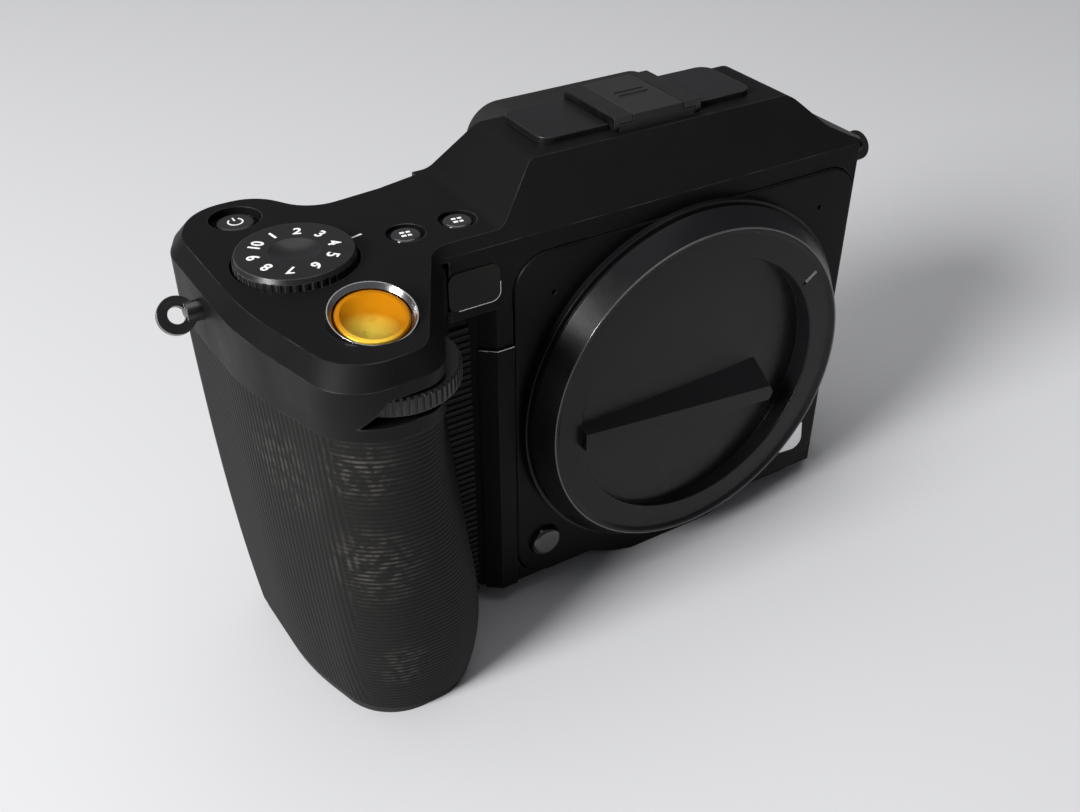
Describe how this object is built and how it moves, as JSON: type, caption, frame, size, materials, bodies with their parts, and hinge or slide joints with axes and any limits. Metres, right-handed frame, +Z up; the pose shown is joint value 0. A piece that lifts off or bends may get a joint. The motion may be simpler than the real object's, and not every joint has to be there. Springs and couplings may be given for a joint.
{
  "type": "medium format digital camera",
  "caption": "Mirrorless medium format camera body with deep hand grip, capped round lens mount, deck dial and shutter button, accessory shoe, finder and rear display.",
  "frame": {"origin": "mouth of the tripod socket, straight below the optical axis, in the plane of the base", "axes": "+X to the viewer's right seen from the front, +Y to the back of the camera, +Z up"},
  "size_m": [0.1649, 0.0749, 0.1016],
  "materials": {
    "casing": "satin powder coat",
    "plate": "satin powder coat",
    "rubber": "matt ribbed rubber",
    "cap": "satin moulded plastic",
    "black_plastic": "satin",
    "dial": "satin anodised",
    "orange": "polished anodised",
    "bright_steel": "polished",
    "steel": "brushed",
    "silver": "satin",
    "board": "solder mask",
    "window": "dark tinted",
    "glass": "coated",
    "sensor": "glossy",
    "battery_shell": "moulded"
  },
  "bodies": {
    "camera_body": {"top_cover": "casing", "main_casing": "casing", "rear_cover": "casing", "front_plate": "plate", "front_trim": "silver", "recess_strip": "rubber", "grip_core": "black_plastic", "grip_rubber": "rubber", "thumb_rest": "rubber", "tripod_base": "casing", "tripod_socket": "steel", "base_screws": "steel", "mount_ring": "bright_steel", "small_screws": "steel", "contact_block": "black_plastic", "light_box": "black_plastic", "sensor_glass": "glass", "image_sensor": "sensor", "sensor_frame": "silver", "main_board": "board", "control_board": "board", "button_board": "board", "lamp_window": "window", "shutter_collar": "bright_steel", "axle_pins": "steel", "display_glass": "glass", "display_module": "black_plastic", "eyecup": "rubber", "finder_module": "black_plastic", "finder_lens": "glass", "shoe_side_plates": "dial", "hot_shoe": "dial", "card_sockets": "black_plastic", "port_block": "black_plastic", "battery_contacts": "black_plastic", "strap_lugs": "bright_steel"},
    "shutter_button": {"shutter_button": "orange"},
    "front_wheel": {"front_wheel": "dial"},
    "rear_wheel": {"rear_wheel": "dial"},
    "dial_carriage": {"dial_carriage": "steel"},
    "mode_dial": {"mode_dial": "dial"},
    "power_button": {"power_button": "dial"},
    "sensitivity_button": {"sensitivity_button": "dial"},
    "focus_button": {"focus_button": "dial"},
    "exposure_lock_button": {"exposure_lock_button": "dial"},
    "focus_drive_button": {"focus_drive_button": "dial"},
    "rear_key_1": {"rear_key_1": "dial"},
    "rear_key_2": {"rear_key_2": "dial"},
    "rear_key_3": {"rear_key_3": "dial"},
    "rear_key_4": {"rear_key_4": "dial"},
    "rear_key_5": {"rear_key_5": "dial"},
    "stop_down_button": {"stop_down_button": "dial"},
    "lens_release": {"lens_release": "bright_steel"},
    "lens_lock_pin": {"lens_lock_pin": "steel"},
    "battery": {"battery": "battery_shell"},
    "battery_lever": {"battery_lever": "dial"},
    "card_door": {"card_door": "rubber"},
    "port_door": {"port_door": "rubber"},
    "shoe_cover": {"shoe_cover": "black_plastic"},
    "body_cap": {"body_cap": "cap"}
  },
  "joints": [
    {"name": "shutter_press", "type": "slide", "parent": "camera_body", "child": "shutter_button", "axis": [0, 0.2588, -0.9659], "range_m": [0, 0.0006], "stiffness_N_per_m": 400, "springref_m": -0.002},
    {"name": "dial_lift", "type": "slide", "parent": "camera_body", "child": "dial_carriage", "axis": [0, 0, 1], "range_m": [0, 0.004]},
    {"name": "power_press", "type": "slide", "parent": "camera_body", "child": "power_button", "axis": [0, 0, -1], "range_m": [0, 0.0007], "stiffness_N_per_m": 400, "springref_m": -0.002},
    {"name": "sensitivity_press", "type": "slide", "parent": "camera_body", "child": "sensitivity_button", "axis": [0, 0, -1], "range_m": [0, 0.0007], "stiffness_N_per_m": 400, "springref_m": -0.002},
    {"name": "focus_press", "type": "slide", "parent": "camera_body", "child": "focus_button", "axis": [0, 0, -1], "range_m": [0, 0.0007], "stiffness_N_per_m": 400, "springref_m": -0.002},
    {"name": "exposure_lock_press", "type": "slide", "parent": "camera_body", "child": "exposure_lock_button", "axis": [0, -1, 0], "range_m": [0, 0.0008], "stiffness_N_per_m": 400, "springref_m": -0.002},
    {"name": "focus_drive_press", "type": "slide", "parent": "camera_body", "child": "focus_drive_button", "axis": [0, -1, 0], "range_m": [0, 0.0008], "stiffness_N_per_m": 400, "springref_m": -0.002},
    {"name": "rear_key_1_press", "type": "slide", "parent": "camera_body", "child": "rear_key_1", "axis": [0, -1, 0], "range_m": [0, 0.0008], "stiffness_N_per_m": 400, "springref_m": -0.002},
    {"name": "rear_key_2_press", "type": "slide", "parent": "camera_body", "child": "rear_key_2", "axis": [0, -1, 0], "range_m": [0, 0.0008], "stiffness_N_per_m": 400, "springref_m": -0.002},
    {"name": "rear_key_3_press", "type": "slide", "parent": "camera_body", "child": "rear_key_3", "axis": [0, -1, 0], "range_m": [0, 0.0008], "stiffness_N_per_m": 400, "springref_m": -0.002},
    {"name": "rear_key_4_press", "type": "slide", "parent": "camera_body", "child": "rear_key_4", "axis": [0, -1, 0], "range_m": [0, 0.0008], "stiffness_N_per_m": 400, "springref_m": -0.002},
    {"name": "rear_key_5_press", "type": "slide", "parent": "camera_body", "child": "rear_key_5", "axis": [0, -1, 0], "range_m": [0, 0.0008], "stiffness_N_per_m": 400, "springref_m": -0.002},
    {"name": "stop_down_press", "type": "slide", "parent": "camera_body", "child": "stop_down_button", "axis": [0, 1, 0], "range_m": [0, 0.0008], "stiffness_N_per_m": 400, "springref_m": -0.002},
    {"name": "lens_release_press", "type": "slide", "parent": "camera_body", "child": "lens_release", "axis": [0, 1, 0], "range_m": [0, 0.0009], "stiffness_N_per_m": 400, "springref_m": -0.002},
    {"name": "lens_lock_pin_slide", "type": "slide", "parent": "camera_body", "child": "lens_lock_pin", "axis": [0, 1, 0], "range_m": [0, 0.0012]},
    {"name": "battery_slide", "type": "slide", "parent": "camera_body", "child": "battery", "axis": [0, 0, -1], "range_m": [0, 0.055]},
    {"name": "shoe_cover_slide", "type": "slide", "parent": "camera_body", "child": "shoe_cover", "axis": [0, 1, 0], "range_m": [0, 0.018]},
    {"name": "front_wheel_spin", "type": "hinge", "parent": "camera_body", "child": "front_wheel", "pos_m": [-0.0745, -0.0323, 0.0823], "axis": [0, 0, 1], "continuous": true},
    {"name": "rear_wheel_spin", "type": "hinge", "parent": "camera_body", "child": "rear_wheel", "pos_m": [-0.0835, 0.0164, 0.0823], "axis": [0, 0, 1], "continuous": true},
    {"name": "dial_turn", "type": "hinge", "parent": "dial_carriage", "child": "mode_dial", "pos_m": [-0.0793, -0.005, 0.0892], "axis": [0, 0, 1], "continuous": true},
    {"name": "battery_lever_turn", "type": "hinge", "parent": "camera_body", "child": "battery_lever", "pos_m": [-0.0445, 0.004, 0.0035], "axis": [0, 0, 1], "range_deg": [0, 35]},
    {"name": "card_door_open", "type": "hinge", "parent": "camera_body", "child": "card_door", "pos_m": [0.0529, -0.0017, 0.059], "axis": [0, 0, -1], "range_deg": [0, 90]},
    {"name": "port_door_open", "type": "hinge", "parent": "camera_body", "child": "port_door", "pos_m": [0.0529, -0.0017, 0.0255], "axis": [0, 0, -1], "range_deg": [0, 90]},
    {"name": "cap_twist", "type": "hinge", "parent": "camera_body", "child": "body_cap", "pos_m": [0, -0.02, 0.046], "axis": [0, -1, 0], "range_deg": [0, 45]}
  ],
  "couplings": [
    {"joint": "lens_lock_pin_slide", "follows": "lens_release_press", "ratio": 1.3}
  ]
}
